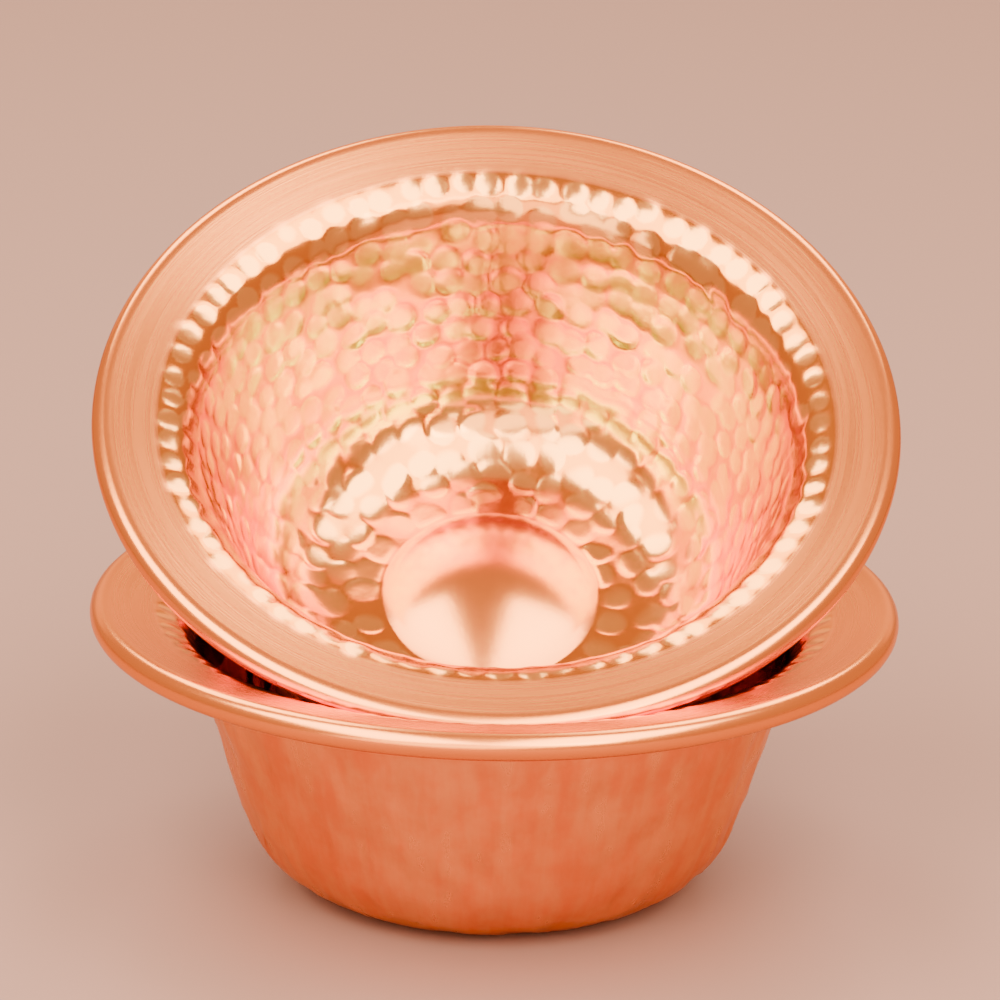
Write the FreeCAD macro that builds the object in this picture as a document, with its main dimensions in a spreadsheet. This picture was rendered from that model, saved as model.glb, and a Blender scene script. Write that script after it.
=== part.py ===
import FreeCAD, Part
import math
import os
import Sketcher

# Two hammered copper bowls of one pattern. The lower one stands on its flat ring, and the
# upper one leans in it: its rolled rim lies on the lower bowl's near shoulder, and its base
# lies over the lower bowl's far shoulder. Each bowl is one sheet, raised from a flat disc:
# a pushed-up dome in the floor, a flat ring round it, a round corner, a sloping wall, a
# round shoulder, a sloping flange and a rim rolled down over a wire.
#
# The frame: origin at the centre of the ring that the lower bowl stands on, +Z up, in
# millimetres. The upper bowl leans towards -Y.

SIZES = {
    "rim_radius": 50.0,        # outside of the rolled rim
    "bowl_height": 36.7,       # from the table to the top of the rolled rim
    "sheet_thickness": 1.0,
    "bead_radius": 1.7,        # outside of the roll
    "groove_depth": 0.12,      # from the top of the roll down to where the flange meets it
    "roll_seam": 0.12,         # gap between the rolled edge and the flange above it
    "wire_play": 0.02,         # between the rim wire and the inside of the roll
    "flange_width": 5.1,       # from the middle of the shoulder curve to the middle of the roll
    "flange_slope": 12.0,      # degrees that the flange rises towards the rim
    "shoulder_radius": 7.0,    # top face of the curve between wall and flange
    "wall_slope": 17.0,        # degrees that the wall leans out from upright
    "corner_radius": 14.0,     # underside of the curve between base and wall
    "ring_width": 4.3,         # flat floor between the dome and the corner curve
    "dome_rise": 3.2,          # height of the dome above the flat floor
    "lean_angle": 31.0,        # degrees that the upper bowl leans
    "seat_gap": 0.1,           # clearance where the upper bowl rests on the lower one
}

NEAR_SAMPLES = 41              # places round the upper roll that are tried against the lower bowl
FAR_SAMPLES = 61               # places round the upper base that are tried against the lower bowl
SAMPLES = 16                   # places along the corner and along the wall of the upper underside
START, END, MIDDLE = 1, 2, 3   # the sketcher's numbers for the points of a line or an arc
HORIZONTAL_AXIS, VERTICAL_AXIS = -1, -2


def make_sheet(doc):
    """The spreadsheet that holds every driving size under its own name."""
    sheet = doc.addObject("Spreadsheet::Sheet", "Sizes")
    for row, (name, value) in enumerate(SIZES.items(), start=1):
        sheet.set("A%d" % row, name)
        sheet.set("B%d" % row, str(value))
        sheet.setAlias("B%d" % row, name)
    doc.recompute()
    return sheet


class Outline:
    """The places of a bowl's profile, radius first and height second, worked out from the sheet."""

    def __init__(self, sheet):
        size = {name: float(sheet.get(name)) for name in SIZES}
        self.sheet_thickness = size["sheet_thickness"]
        self.slope = math.radians(size["flange_slope"])
        # the roll, and the point where the flange meets it
        self.roll_radius = size["bead_radius"]
        self.wire_hole = self.roll_radius - self.sheet_thickness
        self.wire_radius = self.wire_hole - size["wire_play"]
        self.roll = (size["rim_radius"] - self.roll_radius, size["bowl_height"] - self.roll_radius)
        above = self.roll_radius - size["groove_depth"]
        self.groove = (self.roll[0] - math.sqrt(self.roll_radius**2 - above**2), self.roll[1] + above)
        # the shoulder touches the flange's line
        self.shoulder_radius = size["shoulder_radius"]
        across = self.roll[0] - size["flange_width"]
        line_height = self.groove[1] + (across - self.groove[0]) * math.tan(self.slope)
        self.shoulder = (across, line_height - self.shoulder_radius / math.cos(self.slope))
        self.shoulder_under = self.shoulder_radius - self.sheet_thickness
        # the wall is straight, and touches the shoulder's arc and the corner's arc
        self.wall_slope = math.radians(size["wall_slope"])
        self.inward = (-math.cos(self.wall_slope), math.sin(self.wall_slope))
        self.down = (-math.sin(self.wall_slope), -math.cos(self.wall_slope))
        self.corner_radius = size["corner_radius"]
        fall = self.shoulder[1] - self.corner_radius
        between = self.shoulder_under + self.corner_radius + fall * math.sin(self.wall_slope)
        self.corner = (across - between / math.cos(self.wall_slope), self.corner_radius)
        # the dome is a cap of a sphere whose edge lies on the flat floor
        self.dome_edge = self.corner[0] - size["ring_width"]
        rise = size["dome_rise"]
        self.dome_radius = (self.dome_edge**2 + rise**2) / (2 * rise)
        self.dome = (0.0, self.sheet_thickness + rise - self.dome_radius)
        # the flange's underside, as a height over the middle of the roll square to the flange
        self.along = (math.cos(self.slope), math.sin(self.slope))
        self.square = (-self.along[1], self.along[0])
        from_roll = (self.groove[0] - self.roll[0], self.groove[1] - self.roll[1])
        top_height = from_roll[0] * self.square[0] + from_roll[1] * self.square[1]
        self.under_height = top_height - self.sheet_thickness
        self.seam_height = self.under_height - size["roll_seam"]

    def on_roll(self, radius, height):
        """The angle at which a circle round the roll has this height square to the flange, inner side."""
        back = math.sqrt(radius**2 - height**2)
        x = height * self.square[0] - back * self.along[0]
        y = height * self.square[1] - back * self.along[1]
        return math.atan2(y, x)

    def underside(self):
        """Places on the flat ring, the corner and the wall, from the dome to the shoulder."""
        quarter = math.radians(90)
        places = [(self.dome_edge, 0.0), (0.5 * (self.dome_edge + self.corner[0]), 0.0)]
        for step in range(SAMPLES + 1):
            angle = -quarter + (quarter - self.wall_slope) * step / SAMPLES
            places.append(polar(self.corner, self.corner_radius, angle))
        foot = places[-1]
        top = polar(self.shoulder, self.shoulder_under, 2 * quarter - self.wall_slope)
        for step in range(1, SAMPLES + 1):
            part = step / SAMPLES
            places.append((foot[0] + (top[0] - foot[0]) * part, foot[1] + (top[1] - foot[1]) * part))
        return places

    def gap_over(self, radius, height):
        """Distance from a point to the bowl's top face, less than zero inside the sheet."""
        x, y = radius - self.shoulder[0], height - self.shoulder[1]
        if x * self.down[0] + y * self.down[1] >= 0:
            return x * self.inward[0] + y * self.inward[1] - self.shoulder_radius
        to_roll = math.hypot(radius - self.roll[0], height - self.roll[1]) - self.roll_radius
        if x * self.along[0] + y * self.along[1] <= 0:
            return min(to_roll, math.hypot(x, y) - self.shoulder_radius)
        return min(to_roll, x * self.square[0] + y * self.square[1] - self.shoulder_radius)


def polar(centre, radius, angle):
    return centre[0] + radius * math.cos(angle), centre[1] + radius * math.sin(angle)


def arc(centre, radius, first, last):
    """An arc of a circle in the sketch, turning left from its first angle to its last one."""
    circle = Part.Circle(FreeCAD.Vector(*centre, 0), FreeCAD.Vector(0, 0, 1), radius)
    return Part.ArcOfCircle(circle, first, last)


def line(start, end):
    return Part.LineSegment(FreeCAD.Vector(*start, 0), FreeCAD.Vector(*end, 0))


def new_body(doc, name):
    """An empty body, and a sketch on its own XZ plane."""
    body = doc.addObject("PartDesign::Body", name)
    body.Label = name
    sketch = body.newObject("Sketcher::SketchObject", name + "_profile")
    plane = [item for item in body.Origin.OriginFeatures if item.Role == "XZ_Plane"][0]
    sketch.AttachmentSupport = (plane, [""])
    sketch.MapMode = "FlatFace"
    return body, sketch


def size_constraint(sketch, name, constraint, expression):
    """A named dimension of the sketch, bound to cells of the sheet."""
    index = sketch.addConstraint(constraint)
    sketch.renameConstraint(index, name)
    sketch.setExpression("Constraints." + name, expression)


def revolve(body, sketch):
    """Turn the profile right round the sketch's upright axis."""
    turned = body.newObject("PartDesign::Revolution", body.Name + "_turned")
    turned.Profile = (sketch, [""])
    turned.ReferenceAxis = (sketch, ["V_Axis"])
    turned.Angle = 360
    sketch.Visibility = False
    body.Tip = turned
    return body


def make_bowl(doc, sheet, name):
    """One bowl: the closed outline of its sheet, from the dome to the end of the roll, turned round."""
    o = Outline(sheet)
    body, sketch = new_body(doc, name)
    quarter = math.radians(90)
    thick = o.sheet_thickness
    groove_angle = math.atan2(o.groove[1] - o.roll[1], o.groove[0] - o.roll[0])
    seam_angle = o.on_roll(o.roll_radius, o.seam_height) - 4 * quarter
    under_angle = o.on_roll(o.wire_hole, o.under_height)
    shoulder_end = quarter + o.slope
    dome_top_angle = math.atan2(thick - o.dome[1], o.dome_edge)
    dome_under_angle = math.asin(-o.dome[1] / (o.dome_radius - thick))
    shoulder_foot = 2 * quarter - o.wall_slope

    dome_top = sketch.addGeometry(arc(o.dome, o.dome_radius, dome_top_angle, quarter))
    floor = sketch.addGeometry(line((o.dome_edge, thick), (o.corner[0], thick)))
    corner_top = sketch.addGeometry(arc(o.corner, o.corner_radius - thick, -quarter, -o.wall_slope))
    wall_top = sketch.addGeometry(line(
        polar(o.corner, o.corner_radius - thick, -o.wall_slope),
        polar(o.shoulder, o.shoulder_radius, shoulder_foot)))
    shoulder_top = sketch.addGeometry(arc(o.shoulder, o.shoulder_radius, shoulder_end, shoulder_foot))
    flange_top = sketch.addGeometry(line(polar(o.shoulder, o.shoulder_radius, shoulder_end), o.groove))
    roll_outside = sketch.addGeometry(arc(o.roll, o.roll_radius, seam_angle, groove_angle))
    roll_end = sketch.addGeometry(
        line(polar(o.roll, o.roll_radius, seam_angle), polar(o.roll, o.wire_hole, seam_angle)))
    roll_inside = sketch.addGeometry(arc(o.roll, o.wire_hole, seam_angle, under_angle))
    flange_under = sketch.addGeometry(
        line(polar(o.shoulder, o.shoulder_under, shoulder_end), polar(o.roll, o.wire_hole, under_angle)))
    shoulder_below = sketch.addGeometry(arc(o.shoulder, o.shoulder_under, shoulder_end, shoulder_foot))
    wall_outside = sketch.addGeometry(line(
        polar(o.corner, o.corner_radius, -o.wall_slope),
        polar(o.shoulder, o.shoulder_under, shoulder_foot)))
    corner_outside = sketch.addGeometry(arc(o.corner, o.corner_radius, -quarter, -o.wall_slope))
    foot = sketch.addGeometry(
        line(polar(o.dome, o.dome_radius - thick, dome_under_angle), (o.corner[0], 0)))
    dome_under = sketch.addGeometry(arc(o.dome, o.dome_radius - thick, dome_under_angle, quarter))
    middle = sketch.addGeometry(
        line((0, o.dome[1] + o.dome_radius - thick), (0, o.dome[1] + o.dome_radius)))

    smooth = [
        (floor, END, corner_top, START), (corner_top, END, wall_top, START),
        (wall_top, END, shoulder_top, END), (shoulder_top, START, flange_top, START),
        (flange_under, START, shoulder_below, START), (shoulder_below, END, wall_outside, END),
        (wall_outside, START, corner_outside, END), (corner_outside, START, foot, END),
    ]
    sharp = [
        (dome_top, START, floor, START), (flange_top, END, roll_outside, END),
        (roll_outside, START, roll_end, START), (roll_end, END, roll_inside, START),
        (roll_inside, END, flange_under, END), (foot, START, dome_under, START),
        (dome_under, END, middle, START), (middle, END, dome_top, END),
    ]
    same_centre = [
        (dome_top, dome_under), (corner_top, corner_outside),
        (shoulder_top, shoulder_below), (roll_outside, roll_inside),
    ]
    sketch.addConstraint([Sketcher.Constraint("Tangent", *joint) for joint in smooth])
    sketch.addConstraint([Sketcher.Constraint("Coincident", *joint) for joint in sharp])
    sketch.addConstraint(
        [Sketcher.Constraint("Coincident", one, MIDDLE, other, MIDDLE) for one, other in same_centre])
    sketch.addConstraint([
        Sketcher.Constraint("PointOnObject", dome_top, MIDDLE, VERTICAL_AXIS),
        Sketcher.Constraint("PointOnObject", middle, START, VERTICAL_AXIS),
        Sketcher.Constraint("PointOnObject", middle, END, VERTICAL_AXIS),
        Sketcher.Constraint("PointOnObject", foot, START, HORIZONTAL_AXIS),
        Sketcher.Constraint("PointOnObject", foot, END, HORIZONTAL_AXIS),
        Sketcher.Constraint("Horizontal", floor),
        Sketcher.Constraint("Parallel", wall_top, wall_outside),
        Sketcher.Constraint("Parallel", flange_top, flange_under),
        Sketcher.Constraint("PointOnObject", roll_outside, MIDDLE, roll_end),
    ])

    origin = (HORIZONTAL_AXIS, START)
    dimensions = [
        ("roll_across", ("DistanceX", *origin, roll_outside, MIDDLE, o.roll[0]),
         "Sizes.rim_radius - Sizes.bead_radius"),
        ("roll_up", ("DistanceY", *origin, roll_outside, MIDDLE, o.roll[1]),
         "Sizes.bowl_height - Sizes.bead_radius"),
        ("roll_size", ("Radius", roll_outside, o.roll_radius), "Sizes.bead_radius"),
        ("wire_hole", ("Radius", roll_inside, o.wire_hole), "Sizes.bead_radius - Sizes.sheet_thickness"),
        ("groove_up", ("DistanceY", *origin, flange_top, END, o.groove[1]),
         "Sizes.bowl_height - Sizes.groove_depth"),
        ("flange_run", ("DistanceX", shoulder_top, MIDDLE, roll_outside, MIDDLE,
                        o.roll[0] - o.shoulder[0]), "Sizes.flange_width"),
        ("shoulder_size", ("Radius", shoulder_top, o.shoulder_radius), "Sizes.shoulder_radius"),
        ("corner_size", ("Radius", corner_outside, o.corner_radius), "Sizes.corner_radius"),
        ("corner_inside", ("Radius", corner_top, o.corner_radius - thick),
         "Sizes.corner_radius - Sizes.sheet_thickness"),
        ("ring_run", ("DistanceX", floor, START, floor, END, o.corner[0] - o.dome_edge),
         "Sizes.ring_width"),
        ("dome_up", ("DistanceY", floor, START, middle, END, o.dome[1] + o.dome_radius - thick),
         "Sizes.dome_rise"),
        ("dome_sheet", ("Distance", middle, thick), "Sizes.sheet_thickness"),
        ("seam", ("Distance", roll_outside, START, flange_under, o.under_height - o.seam_height),
         "Sizes.roll_seam"),
    ]
    for label, constraint, expression in dimensions:
        size_constraint(sketch, label, Sketcher.Constraint(*constraint), expression)
    size_constraint(sketch, "slope", Sketcher.Constraint("Angle", flange_top, o.slope),
                    "Sizes.flange_slope")
    size_constraint(sketch, "wall_rise", Sketcher.Constraint("Angle", wall_outside, quarter - o.wall_slope),
                    "90 - Sizes.wall_slope")
    return revolve(body, sketch)


def make_wire(doc, sheet, name):
    """The wire that the rim is rolled over: a ring in the middle of the roll."""
    o = Outline(sheet)
    body, sketch = new_body(doc, name)
    centre = FreeCAD.Vector(*o.roll, 0)
    wire = sketch.addGeometry(Part.Circle(centre, FreeCAD.Vector(0, 0, 1), o.wire_radius))
    origin = (HORIZONTAL_AXIS, START)
    size_constraint(sketch, "across", Sketcher.Constraint("DistanceX", *origin, wire, MIDDLE, o.roll[0]),
                    "Sizes.rim_radius - Sizes.bead_radius")
    size_constraint(sketch, "up", Sketcher.Constraint("DistanceY", *origin, wire, MIDDLE, o.roll[1]),
                    "Sizes.bowl_height - Sizes.bead_radius")
    size_constraint(sketch, "size", Sketcher.Constraint("Radius", wire, o.wire_radius),
                    "Sizes.bead_radius - Sizes.sheet_thickness - Sizes.wire_play")
    return revolve(body, sketch)


def first_touch(gap, start, step):
    """Move from start by step until gap is no longer more than zero, then close in on that place."""
    here = start
    while gap(here + step) > 0:
        here += step
    clear, touching = here, here + step
    for _ in range(40):
        between = 0.5 * (clear + touching)
        if gap(between) > 0:
            clear = between
        else:
            touching = between
    return clear


def find_seat(sheet):
    """Where the upper bowl's own origin lies when it rests in the lower bowl at the lean angle.

    The bowl is let down until its roll is the seat gap from the lower bowl, and pushed back
    until its base is the seat gap from the far shoulder. The bowls are alike on both sides of
    the plane through their axes, so each ring is tried over half its length only.
    """
    o = Outline(sheet)
    lean = math.radians(float(sheet.get("lean_angle")))
    seat_gap = float(sheet.get("seat_gap"))
    cosine, sine = math.cos(lean), math.sin(lean)

    def gap(ring_radius, ring_height, angle, back, up):
        x, y = ring_radius * math.cos(angle), ring_radius * math.sin(angle)
        leaned_y = cosine * y - sine * ring_height + back
        leaned_z = sine * y + cosine * ring_height + up
        return o.gap_over(math.hypot(x, leaned_y), leaned_z)

    quarter = math.radians(90)
    near_angles = [-quarter * (1 - step / NEAR_SAMPLES) for step in range(NEAR_SAMPLES)]
    far_angles = [quarter * step / FAR_SAMPLES for step in range(FAR_SAMPLES + 1)]
    underside = o.underside()

    def near_gap(back, up):
        return min(gap(*o.roll, angle, back, up) for angle in near_angles) - o.roll_radius - seat_gap

    def far_gap(back, up):
        return min(gap(*place, angle, back, up) for place in underside for angle in far_angles) - seat_gap

    def let_down(back):
        clear_height = o.roll[1] + o.roll[0] * sine + 2 * o.roll_radius
        return first_touch(lambda up: near_gap(back, up), clear_height, -0.5)

    back = first_touch(lambda shift: far_gap(shift, let_down(shift)), 0.0, 1.0)
    return FreeCAD.Vector(0, back, let_down(back))


def check(doc, parts):
    """Stop if any object failed, any sketch is loose, or any piece is missing or not valid."""
    for item in doc.Objects:
        if "Invalid" in item.State or "Error" in item.State:
            raise RuntimeError("%s did not recompute: %s" % (item.Name, item.State))
        if item.isDerivedFrom("Sketcher::SketchObject") and not item.FullyConstrained:
            raise RuntimeError("%s is not fully constrained" % item.Name)
    for part in parts:
        if part.Shape.isNull() or not part.Shape.isValid() or len(part.Shape.Solids) != 1:
            raise RuntimeError("%s is not one valid solid" % part.Label)


def main():
    doc = FreeCAD.newDocument("HammeredBowls")
    sheet = make_sheet(doc)
    lower = [make_bowl(doc, sheet, "lower_bowl"), make_wire(doc, sheet, "lower_rim_wire")]
    upper = [make_bowl(doc, sheet, "upper_bowl"), make_wire(doc, sheet, "upper_rim_wire")]
    lean = FreeCAD.Rotation(FreeCAD.Vector(1, 0, 0), float(sheet.get("lean_angle")))
    seat = FreeCAD.Placement(find_seat(sheet), lean)
    for part in upper:
        part.Placement = seat
    doc.recompute()
    check(doc, lower + upper)

    os.makedirs("parts", exist_ok=True)
    for part in lower + upper:
        part.Shape.exportStep("parts/%s.step" % part.Label)
        print("%-16s %8.1f mm3" % (part.Label, part.Shape.Volume))
    print("seat of the upper bowl: back %.3f mm, up %.3f mm" % (seat.Base.y, seat.Base.z))


main()
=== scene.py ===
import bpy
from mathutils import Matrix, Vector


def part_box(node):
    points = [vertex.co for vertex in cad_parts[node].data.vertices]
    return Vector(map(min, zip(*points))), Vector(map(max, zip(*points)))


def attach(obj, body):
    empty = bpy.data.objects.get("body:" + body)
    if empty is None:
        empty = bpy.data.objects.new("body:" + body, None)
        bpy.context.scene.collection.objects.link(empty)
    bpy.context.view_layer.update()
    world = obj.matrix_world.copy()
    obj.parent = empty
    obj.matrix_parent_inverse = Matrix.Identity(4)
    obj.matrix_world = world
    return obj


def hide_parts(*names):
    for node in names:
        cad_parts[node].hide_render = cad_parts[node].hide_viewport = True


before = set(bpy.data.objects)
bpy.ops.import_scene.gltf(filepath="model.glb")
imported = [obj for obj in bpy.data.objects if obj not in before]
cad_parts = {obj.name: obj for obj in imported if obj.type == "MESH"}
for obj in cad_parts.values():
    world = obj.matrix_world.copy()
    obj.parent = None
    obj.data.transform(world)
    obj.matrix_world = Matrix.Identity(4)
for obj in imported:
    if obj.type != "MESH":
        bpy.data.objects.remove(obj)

"""Two hammered copper bowls, one leaning in the other, on a studio floor.

Lengths are in metres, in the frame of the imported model. Each bowl is one closed surface,
turned from the outline of its sheet and then hammered: every hammer mark is real shape.
"""

import logging
import math
from dataclasses import dataclass
from enum import Enum

import bpy
import numpy as np
from mathutils import Matrix, Vector

LOG = logging.getLogger("bowls")
MM = 0.001
QUARTER = math.pi / 2
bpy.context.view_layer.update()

Colour = tuple[float, float, float]
Triple = tuple[float, float, float]
Span = tuple[float, float]


# ---------------------------------------------------------------- shader maths

class Socket:
    """An output socket that can be used in arithmetic, so that a formula reads as one."""

    def __init__(self, shader: "Shader", link: bpy.types.NodeSocket) -> None:
        """Wrap one output socket of a shader's node."""
        self.shader = shader
        self.link = link

    def _math(self, operation: str, first: "Socket | float", second: "Socket | float") -> "Socket":
        """Add a Math node that combines two numbers or sockets."""
        return self.shader.node("ShaderNodeMath", {"operation": operation}, {0: first, 1: second})

    def __add__(self, other: "Socket | float") -> "Socket":
        """Sum."""
        return self._math("ADD", self, other)

    def __radd__(self, other: "Socket | float") -> "Socket":
        """Sum, number first."""
        return self._math("ADD", other, self)

    def __sub__(self, other: "Socket | float") -> "Socket":
        """Difference."""
        return self._math("SUBTRACT", self, other)

    def __rsub__(self, other: "Socket | float") -> "Socket":
        """Difference, number first."""
        return self._math("SUBTRACT", other, self)

    def __mul__(self, other: "Socket | float") -> "Socket":
        """Product."""
        return self._math("MULTIPLY", self, other)

    def __rmul__(self, other: "Socket | float") -> "Socket":
        """Product, number first."""
        return self._math("MULTIPLY", other, self)


class Shader:
    """The node tree of one material, filled through a single node-making method."""

    def __init__(self, name: str) -> None:
        """Make an empty material with an output node.

        Args:
            name: the material's name.
        """
        self.material = bpy.data.materials.new(name)
        self.material.use_nodes = True
        self.tree = self.material.node_tree
        self.tree.nodes.clear()
        self.output = self.tree.nodes.new("ShaderNodeOutputMaterial")

    def node(self, kind: str, settings: dict, inputs: dict, output: "str | int" = 0) -> Socket:
        """Add a node, set it up and connect it.

        Args:
            kind: the node's type.
            settings: the node's own settings, set first.
            inputs: a value or a Socket for each input, by name or number.
            output: name or number of the output that is returned.

        Returns:
            The chosen output.
        """
        made = self.tree.nodes.new(kind)
        for name, value in settings.items():
            setattr(made, name, value)
        for name, value in inputs.items():
            if isinstance(value, Socket):
                self.tree.links.new(value.link, made.inputs[name])
            else:
                made.inputs[name].default_value = value
        return Socket(self, made.outputs[output])

    def attribute(self, name: str, output: str = "Fac") -> Socket:
        """Read an attribute of the piece's mesh."""
        settings = {"attribute_type": "GEOMETRY", "attribute_name": name}
        return self.node("ShaderNodeAttribute", settings, {}, output)

    def place(self) -> Socket:
        """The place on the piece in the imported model's frame."""
        return self.node("ShaderNodeTexCoord", {}, {}, "Object")

    def noise(self, vector: Socket, scale: float, detail: float = 2.0) -> Socket:
        """Soft noise from 0 to 1 at a place."""
        inputs = {"Vector": vector, "Scale": scale, "Detail": detail, "Roughness": 0.55}
        return self.node("ShaderNodeTexNoise", {"noise_dimensions": "3D"}, inputs, "Fac")

    def stretched_noise(self, vector: Socket, scales: Triple, detail: float) -> Socket:
        """Soft noise from 0 to 1 with its own scale along each axis."""
        settings = {"operation": "MULTIPLY"}
        scaled = self.node("ShaderNodeVectorMath", settings, {0: vector, 1: scales}, "Vector")
        return self.noise(scaled, 1.0, detail)

    def ease(self, value: Socket, span: Span) -> Socket:
        """Ease a number from 0 at the start of a span to 1 at its end.

        Args:
            value: the number.
            span: the span's start and end.

        Returns:
            The eased number.
        """
        settings = {"interpolation_type": "SMOOTHSTEP"}
        inputs = {"Value": value, "From Min": span[0], "From Max": span[1], "To Min": 0.0, "To Max": 1.0}
        return self.node("ShaderNodeMapRange", settings, inputs, "Result")

    def mix_colour(self, factor: Socket, first: "Socket | Colour", second: "Socket | Colour") -> Socket:
        """Blend two colours.

        Args:
            factor: 0 for the first colour, 1 for the second.
            first: a colour or a Socket.
            second: a colour or a Socket.

        Returns:
            The blended colour.
        """
        settings = {"data_type": "RGBA", "blend_type": "MIX"}
        pair = [one if isinstance(one, Socket) else opaque(one) for one in (first, second)]
        return self.node("ShaderNodeMix", settings, {0: factor, 6: pair[0], 7: pair[1]}, 2)

    def finish(self, inputs: dict) -> bpy.types.Material:
        """Feed a Principled shader to the output.

        Args:
            inputs: a value or a Socket for each of the shader's inputs.

        Returns:
            The material.
        """
        surface = self.node("ShaderNodeBsdfPrincipled", {}, inputs, "BSDF")
        self.tree.links.new(surface.link, self.output.inputs["Surface"])
        return self.material


def opaque(colour: Colour) -> tuple[float, float, float, float]:
    """The colour with full alpha."""
    return (*colour, 1.0)


# ------------------------------------------------------------------- finishes

@dataclass(frozen=True)
class HammeredCopper:
    """Copper: polished hammer marks inside, spun lines on the rim, satin and streaked outside.

    The bowl's mesh carries its zones as numbers from 0 to 1: spun is the turned rim, outer the
    back of the sheet, the third a golden reflection painted on the wall, and the fourth painted
    shade and dark reflections over the inside. A fifth number, marks, is the depth of the
    hammering over that of a full mark. The mesh also carries two vectors: home, the point before
    the bowl is put in its place, and ring, the cosine and sine round the axis with the distance
    along the outline. Line, broad and streak scales are for ring, the others are for home. Each
    spread holds what two patterns add to the roughness.
    """

    bright: Colour = (0.95, 0.37, 0.07)
    # Golden tone of the reflection painted on the inside wall, not the copper's own colour.
    painted_glow_tone: Colour = (0.95, 0.88, 0.01)
    # Dark colour of the painted shade and painted dark reflections inside the bowls.
    deep: Colour = (0.38, 0.05, 0.01)
    flange: Colour = (0.95, 0.28, 0.05)
    # Colour of the painted shade in the creases round hammer marks, also of random cloudy stains.
    crease_shade_and_stain: Colour = (0.82, 0.23, 0.02)
    outside: Colour = (0.96, 0.33, 0.10)
    tarnish: Colour = (0.90, 0.20, 0.04)
    edge: Colour = (1.0, 0.76, 0.55)
    line_scales: Triple = (1.6, 1.6, 4200.0)
    broad_scales: Triple = (1.2, 1.2, 700.0)
    streak_scales: Triple = (13.0, 13.0, 70.0)
    cloud_scale: float = 70.0
    speck_scale: float = 420.0
    grain_scale: float = 1400.0
    # Marks' depths over which the painted crease shade fades out.
    crease_span: Span = (0.1, 0.75)
    # How much of the painted crease shade the painted golden reflection takes away.
    crease_shade_lost_in_painted_glow: float = 0.4
    cloud_span: Span = (0.5, 0.8)
    cloud_stain: float = 0.2
    spun_span: Span = (0.0, 0.3)
    stain_shares: Triple = (0.4, 0.6, 0.3)
    stain_span: Span = (0.5, 0.85)
    inside_roughness: float = 0.10
    inside_spread: Span = (0.06, 0.05)
    flange_roughness: float = 0.27
    flange_spread: Span = (0.12, 0.10)
    outside_roughness: float = 0.30
    outside_spread: Span = (0.16, 0.06)
    spun_line: float = 0.000012
    grain_height: float = 0.000030
    inside_grain: float = 0.25
    coat: float = 0.06
    coat_roughness: float = 0.12

    def material(self) -> bpy.types.Material:
        """Build the copper from the zones and vectors that the bowl's mesh carries.

        Returns:
            The material.
        """
        s = Shader("hammered_copper")
        ring = s.attribute("ring", "Vector")
        home = s.attribute("home", "Vector")
        spun = s.attribute("spun")
        outer = s.attribute("outer")
        marks = s.attribute("marks")
        # Painted light: a golden reflection painted on the wall, then painted shade and dark reflections.
        painted_glow = s.attribute("painted_glow")
        dark_steel_and_painted_shade = s.attribute("dark_steel_and_painted_shade")

        lines = s.stretched_noise(ring, self.line_scales, 3.0)
        broad = s.stretched_noise(ring, self.broad_scales, 2.0)
        streak = s.stretched_noise(ring, self.streak_scales, 3.0)
        cloud = s.noise(home, self.cloud_scale, 3.0)
        speck = s.noise(home, self.speck_scale)
        grain = s.noise(home, self.grain_scale, 3.0)

        # The wall's golden tone is a painted reflection.
        inner = s.mix_colour(painted_glow, self.bright, self.painted_glow_tone)
        # Painted shade in the creases where hammer marks meet and where the sheet is not struck.
        shade = (1.0 - s.ease(marks, self.crease_span)) * (1.0 - self.crease_shade_lost_in_painted_glow * painted_glow)
        inner = s.mix_colour(shade, inner, self.crease_shade_and_stain)
        clouding = s.ease(cloud, self.cloud_span) * self.cloud_stain * (1.0 - painted_glow)
        inner = s.mix_colour(clouding, inner, self.crease_shade_and_stain)
        tone = s.mix_colour(s.ease(spun, self.spun_span), inner, self.flange)
        # Painted shade on the lower bowl's inside wall, and painted dark reflections in a far-wall column
        # and at the dome's edge.
        tone = s.mix_colour(dark_steel_and_painted_shade, tone, self.deep)
        cloud_share, streak_share, speck_share = self.stain_shares
        stain = s.ease(cloud_share * cloud + streak_share * streak + speck_share * speck, self.stain_span)
        skin = s.mix_colour(stain, self.outside, self.tarnish)
        tone = s.mix_colour(outer, tone, skin)

        cloud_spread, speck_spread = self.inside_spread
        smooth = self.inside_roughness + cloud_spread * cloud + speck_spread * speck
        line_spread, broad_spread = self.flange_spread
        brushed = self.flange_roughness + line_spread * (lines - 0.5) + broad_spread * (broad - 0.5)
        streak_spread, speck_spread = self.outside_spread
        satin = self.outside_roughness + streak_spread * (streak - 0.5) + speck_spread * (speck - 0.5)
        roughness = smooth * (1.0 - spun) + brushed * spun
        roughness = roughness * (1.0 - outer) + satin * outer

        grain_share = self.inside_grain + (1.0 - self.inside_grain) * outer
        height = (lines + broad) * spun * self.spun_line + grain * grain_share * self.grain_height
        bump = {"Strength": 1.0, "Distance": 1.0, "Height": height}
        normal = s.node("ShaderNodeBump", {}, bump, "Normal")
        return s.finish({
            "Base Color": tone,
            "Roughness": roughness,
            "Normal": normal,
            "Metallic": 1.0,
            "Specular Tint": opaque(self.edge),
            "Coat Weight": self.coat,
            "Coat Roughness": self.coat_roughness,
        })


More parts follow.
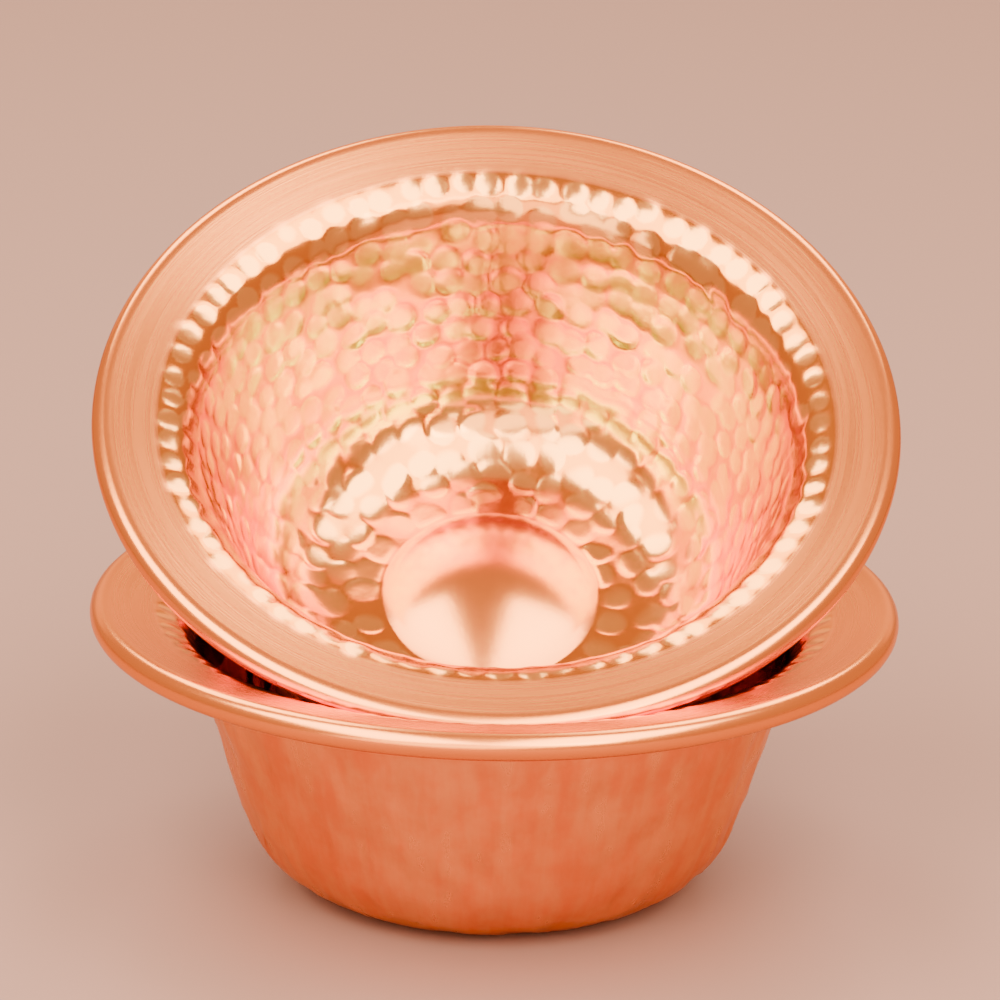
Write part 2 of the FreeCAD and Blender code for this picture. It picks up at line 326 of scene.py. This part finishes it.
@dataclass(frozen=True)
class DrawnWire:
    """Grey drawn steel with fine level lines."""

    bright: Colour = (0.62, 0.61, 0.60)
    dark_steel_and_painted_shade: Colour = (0.42, 0.41, 0.40)
    line_scales: Triple = (300.0, 300.0, 5000.0)
    roughness: float = 0.3
    line_spread: float = 0.15

    def material(self) -> bpy.types.Material:
        """Build the steel from the wire's own place in the model.

        Returns:
            The material.
        """
        s = Shader("rim_wire")
        lines = s.stretched_noise(s.place(), self.line_scales, 2.0)
        tone = s.mix_colour(lines, self.dark_steel_and_painted_shade, self.bright)
        roughness = self.roughness + self.line_spread * lines
        return s.finish({"Base Color": tone, "Roughness": roughness, "Metallic": 1.0})


@dataclass(frozen=True)
class StudioPaint:
    """The matt tan floor."""

    tone: Colour = (0.288, 0.148, 0.096)
    cloud_scale: float = 3.0
    darkest: float = 0.96
    roughness: float = 0.7

    def material(self) -> bpy.types.Material:
        """Build the floor's paint, with a trace of unevenness.

        Returns:
            The material.
        """
        s = Shader("studio_floor")
        cloud = s.noise(s.place(), self.cloud_scale)
        darker = tuple(self.darkest * part for part in self.tone)
        tone = s.mix_colour(cloud, self.tone, darker)
        return s.finish({"Base Color": tone, "Roughness": self.roughness})


# ------------------------------------------------------------------ the bowls

class Face(Enum):
    """Which finish a stretch of the bowl's outline has."""

    DOME = "dome"
    HAMMERED = "hammered"
    SPUN = "spun"
    ROLL = "roll"
    HIDDEN = "hidden"
    OUTSIDE = "outside"


SPUN_SHARES = {Face.SPUN: 1.0, Face.ROLL: 0.7, Face.DOME: 0.3}


def unit(turn: float) -> np.ndarray:
    """The direction at an angle: its cosine and sine."""
    return np.array([math.cos(turn), math.sin(turn)])


def ramp(values: np.ndarray, start: float, width: float) -> np.ndarray:
    """A straight rise from 0 at the start to 1 a width further on, held at 0 and 1 beyond."""
    return np.clip((values - start) / width, 0.0, 1.0)


def bell(values: np.ndarray, middle: float, width: float) -> np.ndarray:
    """A bell curve: the exponential of less the square of the distance over the width."""
    return np.exp(-(((values - middle) / width) ** 2))


@dataclass
class Stretch:
    """Rows of the outline: radius, height, and the direction that the face looks in."""

    face: Face
    rows: np.ndarray

    @classmethod
    def arc(cls, face: Face, centre: np.ndarray, radius: float, first: float, last: float,
            step: float, outward: bool = True) -> "Stretch":
        """Rows along an arc: the centre plus the radius times cosine and sine of an even angle.

        Args:
            face: the finish.
            centre: the arc's centre.
            radius: its radius.
            first: the angle where it starts.
            last: the angle where it ends.
            step: distance between rows.
            outward: whether the face looks away from the centre.

        Returns:
            The stretch.
        """
        count = max(3, round(abs(last - first) * radius / step) + 1)
        angle = np.linspace(first, last, count)
        out = np.stack([np.cos(angle), np.sin(angle)], axis=1)
        sign = 1.0 if outward else -1.0
        return cls(face, np.hstack([centre + radius * out, sign * out]))

    @classmethod
    def line(cls, face: Face, start: "np.ndarray | tuple", end: "np.ndarray | tuple",
             step: float) -> "Stretch":
        """Rows along a straight line, which looks to the left of its own direction.

        Args:
            face: the finish.
            start: where it starts.
            end: where it ends.
            step: distance between rows.

        Returns:
            The stretch.
        """
        start = np.asarray(start)
        end = np.asarray(end)
        length = float(np.linalg.norm(end - start))
        count = max(3, round(length / step) + 1)
        along = (end - start) / length
        places = start + np.linspace(0.0, length, count)[:, None] * along
        looks = np.tile([-along[1], along[0]], (count, 1))
        return cls(face, np.hstack([places, looks]))


@dataclass(frozen=True)
class Hammering:
    """Rings of hammer marks over a stretch of the outline.

    A mark is a round dish with a flat floor: its depth times one less the fourth power of the
    distance over its radius, tipped a little to one side. Where dishes meet the deeper one
    wins, so its whole circle shows and cuts into the circles round it. Sizes and depths are
    drawn from spans of shares of radius and depth. Every second ring is turned by half a step,
    and each by up to slip of a step. The tip fades out where the square of the distance over
    the radius reaches tip_end, and row_reach is how many spacings past its middle a ring acts.
    """

    first: float
    last: float
    rings: int
    spacing: float
    radius: float
    depth: float
    tip: float
    wander: float
    seed: int
    fewest: int = 6
    slip: float = 0.15
    size_span: Span = (0.88, 1.12)
    depth_span: Span = (0.55, 1.3)
    row_reach: float = 1.2
    tip_end: float = 1.6

    def depth_at(self, along: np.ndarray, across: np.ndarray, angle: np.ndarray) -> np.ndarray:
        """How far the surface is hammered in, as a whole grid at once.

        Args:
            along: place of each row along the outline.
            across: distance of each row from the bowl's axis.
            angle: angle of each column round the axis.

        Returns:
            Depths, rows by columns, zero or more.
        """
        chance = np.random.default_rng(self.seed)
        total = np.zeros((along.size, angle.size))
        for ring, middle in enumerate(np.linspace(self.first, self.last, self.rings)):
            reach = float(np.interp(middle, along, across))
            count = max(self.fewest, round(2 * math.pi * reach / self.spacing))
            step = 2 * math.pi / count
            shift = chance.uniform(-self.slip, self.slip) + 0.5 * (ring % 2)
            off_angle = chance.normal(0.0, self.wander, count) * step
            off_along = chance.normal(0.0, self.wander, count) * self.spacing
            size = self.radius * chance.uniform(*self.size_span, count)
            deep = self.depth * chance.uniform(*self.depth_span, count)
            tip_along = chance.normal(0.0, self.tip, count)
            tip_round = chance.normal(0.0, self.tip, count)
            nearest = np.round(angle / step - shift).astype(int)
            near = np.flatnonzero(np.abs(along - middle) < self.row_reach * self.spacing + self.radius)
            rows = slice(near[0], near[-1] + 1)
            for neighbour in (-2, -1, 0, 1, 2):
                mark = nearest + neighbour
                pick = mark % count
                centre = (mark + shift) * step + off_angle[pick]
                aside = across[rows, None] * (angle - centre)[None, :]
                ahead = along[rows, None] - middle - off_along[pick][None, :]
                square = (aside**2 + ahead**2) / size[pick] ** 2
                tipped = tip_along[pick] * ahead + tip_round[pick] * aside
                dish = deep[pick] * (1 - square**2) + tipped * np.clip(self.tip_end - square, 0.0, 1.0)
                total[rows] = np.maximum(total[rows], dish)
        return total


@dataclass(frozen=True)
class PaintedLight:
    """Light and shade painted into the inside of a bowl: a golden reflection, dark reflections, shade.

    The wall's share rises from its foot and falls again below the rim. The painted glow is weaker
    on the side of the positive Y axis, more so in the upper part of the wall, and a narrow column
    of painted dark reflection stands there. The first field darkens the whole wall with painted
    shade. The dome darkens towards its edge with a painted dark reflection.
    """

    # Share of painted shade over the whole inside wall.
    wall_painted_shade: float
    foot: float = 5.0 * MM
    foot_fade: float = 5.0 * MM
    head: float = 4.5 * MM
    head_fade: float = 3.5 * MM
    # The painted golden reflection is weaker on the far side and higher up the wall.
    far_width: float = math.radians(38.0)
    far_loss: float = 0.45
    upper: float = 15.0 * MM
    upper_fade: float = 8.0 * MM
    upper_loss: float = 0.40
    # A narrow column of painted dark reflection on the far wall.
    column_angle: float = math.radians(85.0)
    column_width: float = math.radians(12.0)
    column_painted_reflection: float = 0.75
    # Painted dark reflection towards the dome's edge.
    dome_start: float = 0.7
    dome_painted_reflection: float = 0.35

    def wall(self, level: np.ndarray, top: float, faces: np.ndarray) -> np.ndarray:
        """How far each row belongs to the wall.

        Args:
            level: height of each row.
            top: height of the bowl.
            faces: the finish of each row.

        Returns:
            Shares, one for each row.
        """
        rising = ramp(level, self.foot, self.foot_fade)
        falling = np.clip((top - self.head - level) / self.head_fade, 0.0, 1.0)
        return rising * falling * (faces == Face.HAMMERED.value)

    def painted_glow(self, wall: np.ndarray, level: np.ndarray, angle: np.ndarray) -> np.ndarray:
        """How strongly a golden reflection is painted on the surface.

        Args:
            wall: the wall's share of each row.
            level: height of each row.
            angle: angle of each column.

        Returns:
            Shares, rows by columns.
        """
        far = bell(angle, QUARTER, self.far_width)
        upper = ramp(level, self.upper, self.upper_fade)[:, None]
        return wall[:, None] * (1.0 - (self.far_loss + self.upper_loss * upper) * far)

    def dark_steel_and_painted_shade(self, wall: np.ndarray, across: np.ndarray, angle: np.ndarray,
             faces: np.ndarray) -> np.ndarray:
        """How far painted shade and painted dark reflection darken the surface.

        Args:
            wall: the wall's share of each row.
            across: distance of each row from the axis.
            angle: angle of each column.
            faces: the finish of each row.

        Returns:
            Shares, rows by columns.
        """
        column = self.column_painted_reflection * bell(angle, self.column_angle, self.column_width)
        on_wall = np.maximum(self.wall_painted_shade, column)[None, :] * wall[:, None]
        in_dome = faces == Face.DOME.value
        reach = across / across[in_dome].max()
        darkening = ramp(reach, self.dome_start, 1.0 - self.dome_start) ** 2
        return on_wall + (self.dome_painted_reflection * in_dome * darkening)[:, None]


@dataclass
class Bowl:
    """One raised copper bowl, as a closed surface turned about its axis.

    The fields are the bowl's own sizes and the steps between its rows. Its rim radius and
    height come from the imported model. full_mark is the depth at which a hammer mark counts as
    one, and the two fades are the lengths over which the hammering starts and ends.
    """

    name: str
    body: str
    place: Matrix
    rim_radius: float
    height: float
    # The light and shade painted into the bowl's inside.
    painted_light: PaintedLight
    seed: int
    sheet: float = 1.0 * MM
    roll_radius: float = 1.7 * MM
    groove_depth: float = 0.12 * MM
    roll_seam: float = 0.12 * MM
    flange_width: float = 5.1 * MM
    flange_slope: float = math.radians(12.0)
    shoulder_radius: float = 7.0 * MM
    wall_slope: float = math.radians(17.0)
    corner_radius: float = 14.0 * MM
    ring_width: float = 4.3 * MM
    dome_rise: float = 3.2 * MM
    columns: int = 500
    hammered_step: float = 0.45 * MM
    roll_step: float = 0.55 * MM
    flange_step: float = 0.6 * MM
    hole_step: float = 0.7 * MM
    dome_step: float = 1.4 * MM
    back_step: float = 1.6 * MM
    full_mark: float = 0.10 * MM
    floor_fade: float = 0.6 * MM
    flange_fade: float = 1.0 * MM

    def outline(self) -> list[Stretch]:
        """The closed outline of the sheet, from the dome's top round the roll to its underside.

        The lines and arcs touch each other, worked out from the sizes: the shoulder touches the
        flange's line, the wall is a sloping line that touches the shoulder, and the corner
        touches the wall's line and the floor.

        Returns:
            The stretches in order.
        """
        slope = self.flange_slope
        lean = self.wall_slope
        thick = self.sheet
        square = np.array([-math.sin(slope), math.cos(slope)])
        along = unit(slope)

        roll = np.array([self.rim_radius - self.roll_radius, self.height - self.roll_radius])
        above = self.roll_radius - self.groove_depth
        groove = roll + [-math.sqrt(self.roll_radius**2 - above**2), above]
        across = roll[0] - self.flange_width
        level = groove[1] + (across - groove[0]) * math.tan(slope)
        shoulder = np.array([across, level - self.shoulder_radius / math.cos(slope)])
        shoulder_end = QUARTER + slope
        shoulder_foot = math.pi - lean
        inner_shoulder = self.shoulder_radius - thick

        between = inner_shoulder + self.corner_radius
        between += (shoulder[1] - self.corner_radius) * math.sin(lean)
        corner = np.array([across - between / math.cos(lean), self.corner_radius])
        inner_corner = self.corner_radius - thick

        edge = corner[0] - self.ring_width
        dome_radius = (edge**2 + self.dome_rise**2) / (2 * self.dome_rise)
        inner_dome = dome_radius - thick
        dome = np.array([0.0, thick + self.dome_rise - dome_radius])
        dome_edge = math.atan2(thick - dome[1], edge)
        dome_foot = math.asin(-dome[1] / inner_dome)

        def on_roll(radius: float, level: float) -> float:
            """Angle on a circle round the roll, inner side, at a height square to the flange."""
            point = level * square - math.sqrt(radius**2 - level**2) * along
            return math.atan2(point[1], point[0])

        hole = self.roll_radius - thick
        under = float((groove - roll) @ square) - thick
        groove_angle = math.atan2(groove[1] - roll[1], groove[0] - roll[0])
        seam_angle = on_roll(self.roll_radius, under - self.roll_seam) - 2 * math.pi
        under_angle = on_roll(hole, under)

        fine = self.hammered_step
        coarse = self.back_step
        wall_foot = corner + inner_corner * unit(-lean)
        wall_head = shoulder + self.shoulder_radius * unit(shoulder_foot)
        flange_foot = shoulder + self.shoulder_radius * unit(shoulder_end)
        seam_out = roll + self.roll_radius * unit(seam_angle)
        seam_in = roll + hole * unit(seam_angle)
        back_rim = roll + hole * unit(under_angle)
        back_flange = shoulder + inner_shoulder * unit(shoulder_end)
        back_head = shoulder + inner_shoulder * unit(shoulder_foot)
        back_foot = corner + self.corner_radius * unit(-lean)
        back_dome = dome + inner_dome * unit(dome_foot)
        return [
            Stretch.arc(Face.DOME, dome, dome_radius, QUARTER, dome_edge, self.dome_step),
            Stretch.line(Face.HAMMERED, (edge, thick), (corner[0], thick), fine),
            Stretch.arc(Face.HAMMERED, corner, inner_corner, -QUARTER, -lean, fine, False),
            Stretch.line(Face.HAMMERED, wall_foot, wall_head, fine),
            Stretch.arc(Face.HAMMERED, shoulder, self.shoulder_radius, shoulder_foot, shoulder_end, fine),
            Stretch.line(Face.SPUN, flange_foot, groove, self.flange_step),
            Stretch.arc(Face.ROLL, roll, self.roll_radius, groove_angle, seam_angle, self.roll_step),
            Stretch.line(Face.HIDDEN, seam_out, seam_in, self.hole_step),
            Stretch.arc(Face.HIDDEN, roll, hole, seam_angle, under_angle, self.hole_step, False),
            Stretch.line(Face.OUTSIDE, back_rim, back_flange, coarse),
            Stretch.arc(Face.OUTSIDE, shoulder, inner_shoulder, shoulder_end, shoulder_foot, coarse, False),
            Stretch.line(Face.OUTSIDE, back_head, back_foot, coarse),
            Stretch.arc(Face.OUTSIDE, corner, self.corner_radius, -lean, -QUARTER, coarse),
            Stretch.line(Face.OUTSIDE, (corner[0], 0.0), back_dome, coarse),
            Stretch.arc(Face.OUTSIDE, dome, inner_dome, dome_foot, QUARTER, coarse, False),
        ]

    def build(self) -> bpy.types.Object:
        """Turn the outline about the axis, hammer it, and put it in its place.

        A point is (radius cos angle, radius sin angle, height), moved against the way its face
        looks by the depth of the hammering there. The outline's two ends lie on the axis and
        are one point each.

        Returns:
            The bowl as a mesh object at the origin.
        """
        stretches = self.outline()
        rows = np.vstack([stretches[0].rows] + [one.rows[1:] for one in stretches[1:]])
        faces = [stretches[0].face.value] * len(stretches[0].rows)
        for one in stretches[1:]:
            faces += [one.face.value] * (len(one.rows) - 1)
        steps = np.hypot(*np.diff(rows[:, :2], axis=0).T)
        along = np.cumsum(steps)[:-1]
        angle = np.arange(self.columns) * 2 * math.pi / self.columns
        faces = np.array(faces[1:-1])
        across, level, look_across, look_up = rows[1:-1].T

        depth = self.hammered_depth(along, across, angle, faces)
        radius = across[:, None] - depth * look_across[:, None]
        height = level[:, None] - depth * look_up[:, None]
        home = np.stack([radius * np.cos(angle), radius * np.sin(angle), height], axis=-1)
        ends = [[0.0, 0.0, rows[0, 1]], [0.0, 0.0, rows[-1, 1]]]
        places = np.vstack([home.reshape(-1, 3), ends])
        mesh = self.grid_mesh(len(across), places)

        turns = np.stack([np.cos(angle), np.sin(angle)], axis=-1)
        turns = np.vstack([np.tile(turns, (len(across), 1)), np.zeros((2, 2))])
        self.add_vectors(mesh, "home", places)
        self.add_vectors(mesh, "ring", np.hstack([turns, self.per_point(along)[:, None]]))
        spun = sum(share * (faces == face.value) for face, share in SPUN_SHARES.items())
        self.add_numbers(mesh, "spun", self.per_point(spun))
        outer = np.isin(faces, [Face.OUTSIDE.value, Face.HIDDEN.value]).astype(float)
        self.add_numbers(mesh, "outer", self.per_point(outer))
        self.add_numbers(mesh, "marks", np.append((depth / self.full_mark).ravel(), [1.0, 1.0]))
        wall = self.painted_light.wall(level, self.height, faces)
        # A golden reflection painted on the wall, weaker on the far side.
        painted_glow = self.painted_light.painted_glow(wall, level, angle)
        self.add_numbers(mesh, "painted_glow", np.append(painted_glow.ravel(), [0.0, 0.0]))
        # Painted shade and painted dark reflections over the inside.
        dark_steel_and_painted_shade = self.painted_light.dark_steel_and_painted_shade(wall, across, angle, faces)
        self.add_numbers(mesh, "dark_steel_and_painted_shade", np.append(dark_steel_and_painted_shade.ravel(), [0.0, 0.0]))

        mesh.transform(self.place)
        made = bpy.data.objects.new(self.name + "_copper", mesh)
        bpy.context.scene.collection.objects.link(made)
        return made

    def per_point(self, per_row: np.ndarray) -> np.ndarray:
        """One number for each row, given to all its columns and to the end points."""
        return np.append(np.repeat(per_row, self.columns), [per_row[0], per_row[-1]])

    def hammered_depth(self, along: np.ndarray, across: np.ndarray, angle: np.ndarray,
                       faces: np.ndarray) -> np.ndarray:
        """Depth of the hammer marks over the whole grid.

        Inside, the marks lie in three bands: the floor round the dome, the wall, and one row
        below the flange. They fade out at the dome and at the end of the flange. The back has
        one band of broad facets.

        Args:
            along: place of each row along the outline.
            across: distance of each row from the axis.
            angle: angle of each column.
            faces: the finish of each row.

        Returns:
            Depths, rows by columns.
        """
        inside = np.flatnonzero(faces == Face.HAMMERED.value)
        first = along[inside[0]]
        last = along[inside[-1]]
        flange_end = np.flatnonzero(faces == Face.SPUN.value)[-1]
        inner = slice(inside[0], flange_end)
        bands = (
            Hammering(first=first + 2.1 * MM, last=first + 13.3 * MM, rings=4, spacing=4.2 * MM,
                      radius=2.4 * MM, depth=0.085 * MM, tip=0.032, wander=0.09, seed=self.seed),
            Hammering(first=first + 16.6 * MM, last=last - 5.2 * MM, rings=9, spacing=3.8 * MM,
                      radius=2.15 * MM, depth=0.115 * MM, tip=0.026, wander=0.10, seed=self.seed + 1),
            Hammering(first=last - 1.6 * MM, last=last - 1.6 * MM, rings=1, spacing=3.5 * MM,
                      radius=1.65 * MM, depth=0.12 * MM, tip=0.015, wander=0.07, seed=self.seed + 2),
        )
        depth = np.zeros((along.size, angle.size))
        for band in bands:
            struck = band.depth_at(along[inner], across[inner], angle)
            depth[inner] = np.maximum(depth[inner], struck)
        depth[inner] *= ramp(along[inner], first, self.floor_fade)[:, None]
        to_roll = along[flange_end] - along[inner]
        depth[inner] *= ramp(to_roll, 0.0, self.flange_fade)[:, None]

        outside = np.flatnonzero(faces == Face.OUTSIDE.value)
        rows = slice(outside[0], outside[-1] + 1)
        first = along[outside[0]]
        last = along[outside[-1]]
        facets = Hammering(first=first + 8.0 * MM, last=last - 19.0 * MM, rings=8, spacing=5.0 * MM,
                           radius=3.4 * MM, depth=0.13 * MM, tip=0.055, wander=0.12, seed=self.seed + 3)
        depth[rows] = facets.depth_at(along[rows], across[rows], angle)
        return depth

    def grid_mesh(self, rows: int, places: np.ndarray) -> bpy.types.Mesh:
        """Join a grid that closes round the axis, with one point at each end, into a mesh.

        Args:
            rows: number of rings of points.
            places: the grid's points row by row, then the two end points.

        Returns:
            The mesh, its faces looking outwards.
        """
        count = self.columns
        column = np.arange(count)
        after = (column + 1) % count
        start = np.arange(rows - 1)[:, None] * count
        corners = [start + column, start + count + column, start + count + after, start + after]
        quads = np.stack(corners, axis=-1).reshape(-1, 4)
        top = rows * count
        bottom = top + 1
        last = (rows - 1) * count
        caps = np.vstack([
            np.stack([np.full(count, top), column, after], axis=-1),
            np.stack([np.full(count, bottom), last + after, last + column], axis=-1),
        ])
        mesh = bpy.data.meshes.new(self.name + "_copper")
        mesh.from_pydata(places, [], quads.tolist() + caps.tolist())
        mesh.polygons.foreach_set("use_smooth", np.ones(len(mesh.polygons), dtype=bool))
        mesh.update()
        return mesh

    @staticmethod
    def add_vectors(mesh: bpy.types.Mesh, name: str, values: np.ndarray) -> None:
        """Store a vector for each point under a name."""
        mesh.attributes.new(name, "FLOAT_VECTOR", "POINT").data.foreach_set("vector", values.ravel())

    @staticmethod
    def add_numbers(mesh: bpy.types.Mesh, name: str, values: np.ndarray) -> None:
        """Store a number for each point under a name."""
        mesh.attributes.new(name, "FLOAT", "POINT").data.foreach_set("value", values)

    def dress(self, made: bpy.types.Object, copper: bpy.types.Material) -> None:
        """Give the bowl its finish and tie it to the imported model.

        Args:
            made: the bowl's object.
            copper: its material.
        """
        made.data.materials.append(copper)
        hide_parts(self.name)
        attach(made, self.body)


@dataclass
class BowlPair:
    """The lower bowl, the upper bowl that leans in it, and the wires in their rims."""

    copper: HammeredCopper = HammeredCopper()
    wire: DrawnWire = DrawnWire()
    # The lower bowl's whole inside wall is darkened with painted shade; the upper one's is not.
    lower_painted_light: PaintedLight = PaintedLight(wall_painted_shade=0.95)
    upper_painted_light: PaintedLight = PaintedLight(wall_painted_shade=0.0)

    def upper_place(self) -> Matrix:
        """Where the upper bowl stands, read from the ring of its rim wire.

        The ring's box is two ring radii times the cosine of the lean deep, and times its sine
        high, each more by the wire's own thickness.

        Returns:
            The matrix that takes a bowl standing at the origin to its place.
        """
        low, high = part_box("lower_rim_wire")
        thickness = high[2] - low[2]
        ring_height = (high[2] + low[2]) / 2
        low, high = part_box("upper_rim_wire")
        lean = math.atan2(high[2] - low[2] - thickness, high[1] - low[1] - thickness)
        turn = Matrix.Rotation(lean, 4, "X")
        middle = (Vector(low) + Vector(high)) / 2
        return Matrix.Translation(middle - turn @ Vector((0.0, 0.0, ring_height))) @ turn

    def build(self) -> list[bpy.types.Object]:
        """Make both bowls and dress the wires.

        Returns:
            The four pieces.
        """
        low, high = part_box("lower_bowl")
        sizes = {"rim_radius": (high[0] - low[0]) / 2, "height": high[2] - low[2]}
        bowls = (
            Bowl("lower_bowl", "lower", Matrix.Identity(4), painted_light=self.lower_painted_light, seed=11, **sizes),
            Bowl("upper_bowl", "upper", self.upper_place(), painted_light=self.upper_painted_light, seed=7, **sizes),
        )
        copper = self.copper.material()
        pieces = []
        for bowl in bowls:
            made = bowl.build()
            bowl.dress(made, copper)
            pieces.append(made)
        steel = self.wire.material()
        for name in ("lower_rim_wire", "upper_rim_wire"):
            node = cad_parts[name]
            node.data.materials.clear()
            node.data.materials.append(steel)
            pieces.append(node)
        return pieces


# ------------------------------------------------------------------ the studio

@dataclass(frozen=True)
class SoftBox:
    """An oblong soft light that looks at the bowls. Its angles are in degrees."""

    name: str
    azimuth: float
    elevation: float
    distance: float
    width: float
    tall: float
    power: float
    tone: Colour = (1.0, 0.97, 0.95)

    def place(self, aim: Vector) -> None:
        """Hang the light, its length running from front to back as nearly as it can.

        Azimuth is measured to the right of the camera's side.

        Args:
            aim: the point it looks at.
        """
        turn = math.radians(self.azimuth)
        rise = math.radians(self.elevation)
        level = math.cos(rise)
        away = Vector((math.sin(turn) * level, -math.cos(turn) * level, math.sin(rise)))
        lamp = bpy.data.lights.new(self.name, "AREA")
        lamp.shape = "RECTANGLE"
        lamp.size = self.width
        lamp.size_y = self.tall
        lamp.energy = self.power
        lamp.color = self.tone
        made = bpy.data.objects.new(self.name, lamp)
        length = (Vector((0.0, 1.0, 0.0)) - away * away.y).normalized()
        turned = Matrix((length.cross(away), length, away)).transposed().to_4x4()
        made.matrix_world = Matrix.Translation(aim + away * self.distance) @ turned
        bpy.context.scene.collection.objects.link(made)


@dataclass(frozen=True)
class Studio:
    """A tan floor under a warm sky, soft boxes in front and behind, and a long lens.

    The two large front boxes leave a gap between them, which the polished inside of the upper
    bowl reflects as a darker band.
    """

    boxes: tuple[SoftBox, ...] = (
        SoftBox("left_front_box", azimuth=-46.0, elevation=48.0, distance=0.75, width=0.50, tall=0.90,
                power=15.0),
        SoftBox("right_front_box", azimuth=36.0, elevation=50.0, distance=0.75, width=0.50, tall=0.90,
                power=15.0),
        SoftBox("low_front_box", azimuth=-7.0, elevation=13.0, distance=1.00, width=1.70, tall=0.40,
                power=10.0, tone=(1.0, 0.88, 0.76)),
        SoftBox("left_back_box", azimuth=-155.0, elevation=46.0, distance=0.90, width=0.34, tall=0.44,
                power=4.2),
        SoftBox("right_back_box", azimuth=155.0, elevation=46.0, distance=0.90, width=0.34, tall=0.44,
                power=4.2),
        SoftBox("back_strip", azimuth=180.0, elevation=14.0, distance=1.20, width=1.60, tall=0.26,
                power=1.2, tone=(1.0, 0.62, 0.32)),
    )
    sky: Colour = (1.0, 0.60, 0.42)
    sky_strength: float = 0.98
    floor_size: float = 4.0
    sensor_width: float = 36.0
    lens_widths: float = 6.0
    nearest: float = 0.01
    farthest: float = 20.0
    eye_distance: float = 0.7384
    eye_elevation: float = math.radians(18.23)
    eye_turn: float = math.radians(-1.42)
    eye_roll: float = math.radians(1.07)
    aim_across: float = 0.44 * MM
    aim_height: float = 49.28 * MM

    def build(self) -> None:
        """Make the floor, the sky, the lights and the camera."""
        self.add_floor()
        self.add_sky()
        for box in self.boxes:
            box.place(Vector((0.0, 0.0, self.aim_height)))
        self.add_camera()

    def add_floor(self) -> None:
        """A square floor at the height that the lower bowl stands on."""
        half = self.floor_size / 2
        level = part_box("lower_bowl")[0][2]
        corners = [(-half, -half, level), (half, -half, level), (half, half, level), (-half, half, level)]
        mesh = bpy.data.meshes.new("studio_floor")
        mesh.from_pydata(corners, [], [(0, 1, 2, 3)])
        mesh.materials.append(StudioPaint().material())
        floor = bpy.data.objects.new("studio_floor", mesh)
        bpy.context.scene.collection.objects.link(floor)

    def add_sky(self) -> None:
        """An even warm light all round."""
        world = bpy.data.worlds.new("studio_sky")
        world.use_nodes = True
        background = world.node_tree.nodes["Background"]
        background.inputs["Color"].default_value = opaque(self.sky)
        background.inputs["Strength"].default_value = self.sky_strength
        bpy.context.scene.world = world

    def add_camera(self) -> None:
        """A long lens, a little above the bowls, turned and rolled by small angles."""
        lens = bpy.data.cameras.new("camera")
        lens.sensor_width = self.sensor_width
        lens.lens = self.sensor_width * self.lens_widths
        lens.clip_start = self.nearest
        lens.clip_end = self.farthest
        camera = bpy.data.objects.new("camera", lens)
        turn = Matrix.Rotation(self.eye_turn, 4, "Z")
        rise = self.eye_elevation
        back = Vector((0.0, -math.cos(rise), math.sin(rise)))
        aim = Vector((self.aim_across, 0.0, self.aim_height))
        upright = Matrix.Rotation(QUARTER - rise, 4, "X")
        roll = Matrix.Rotation(self.eye_roll, 4, "Z")
        camera.matrix_world = turn @ Matrix.Translation(aim + back * self.eye_distance) @ upright @ roll
        bpy.context.scene.collection.objects.link(camera)
        bpy.context.scene.camera = camera


def main() -> None:
    """Build the bowls and the studio in order, and report each piece."""
    logging.basicConfig(level=logging.INFO, format="%(name)s: %(message)s")
    for piece in BowlPair().build():
        LOG.info("%s: %d faces", piece.name, len(piece.data.polygons))
    Studio().build()


if __name__ == "__main__":
    main()
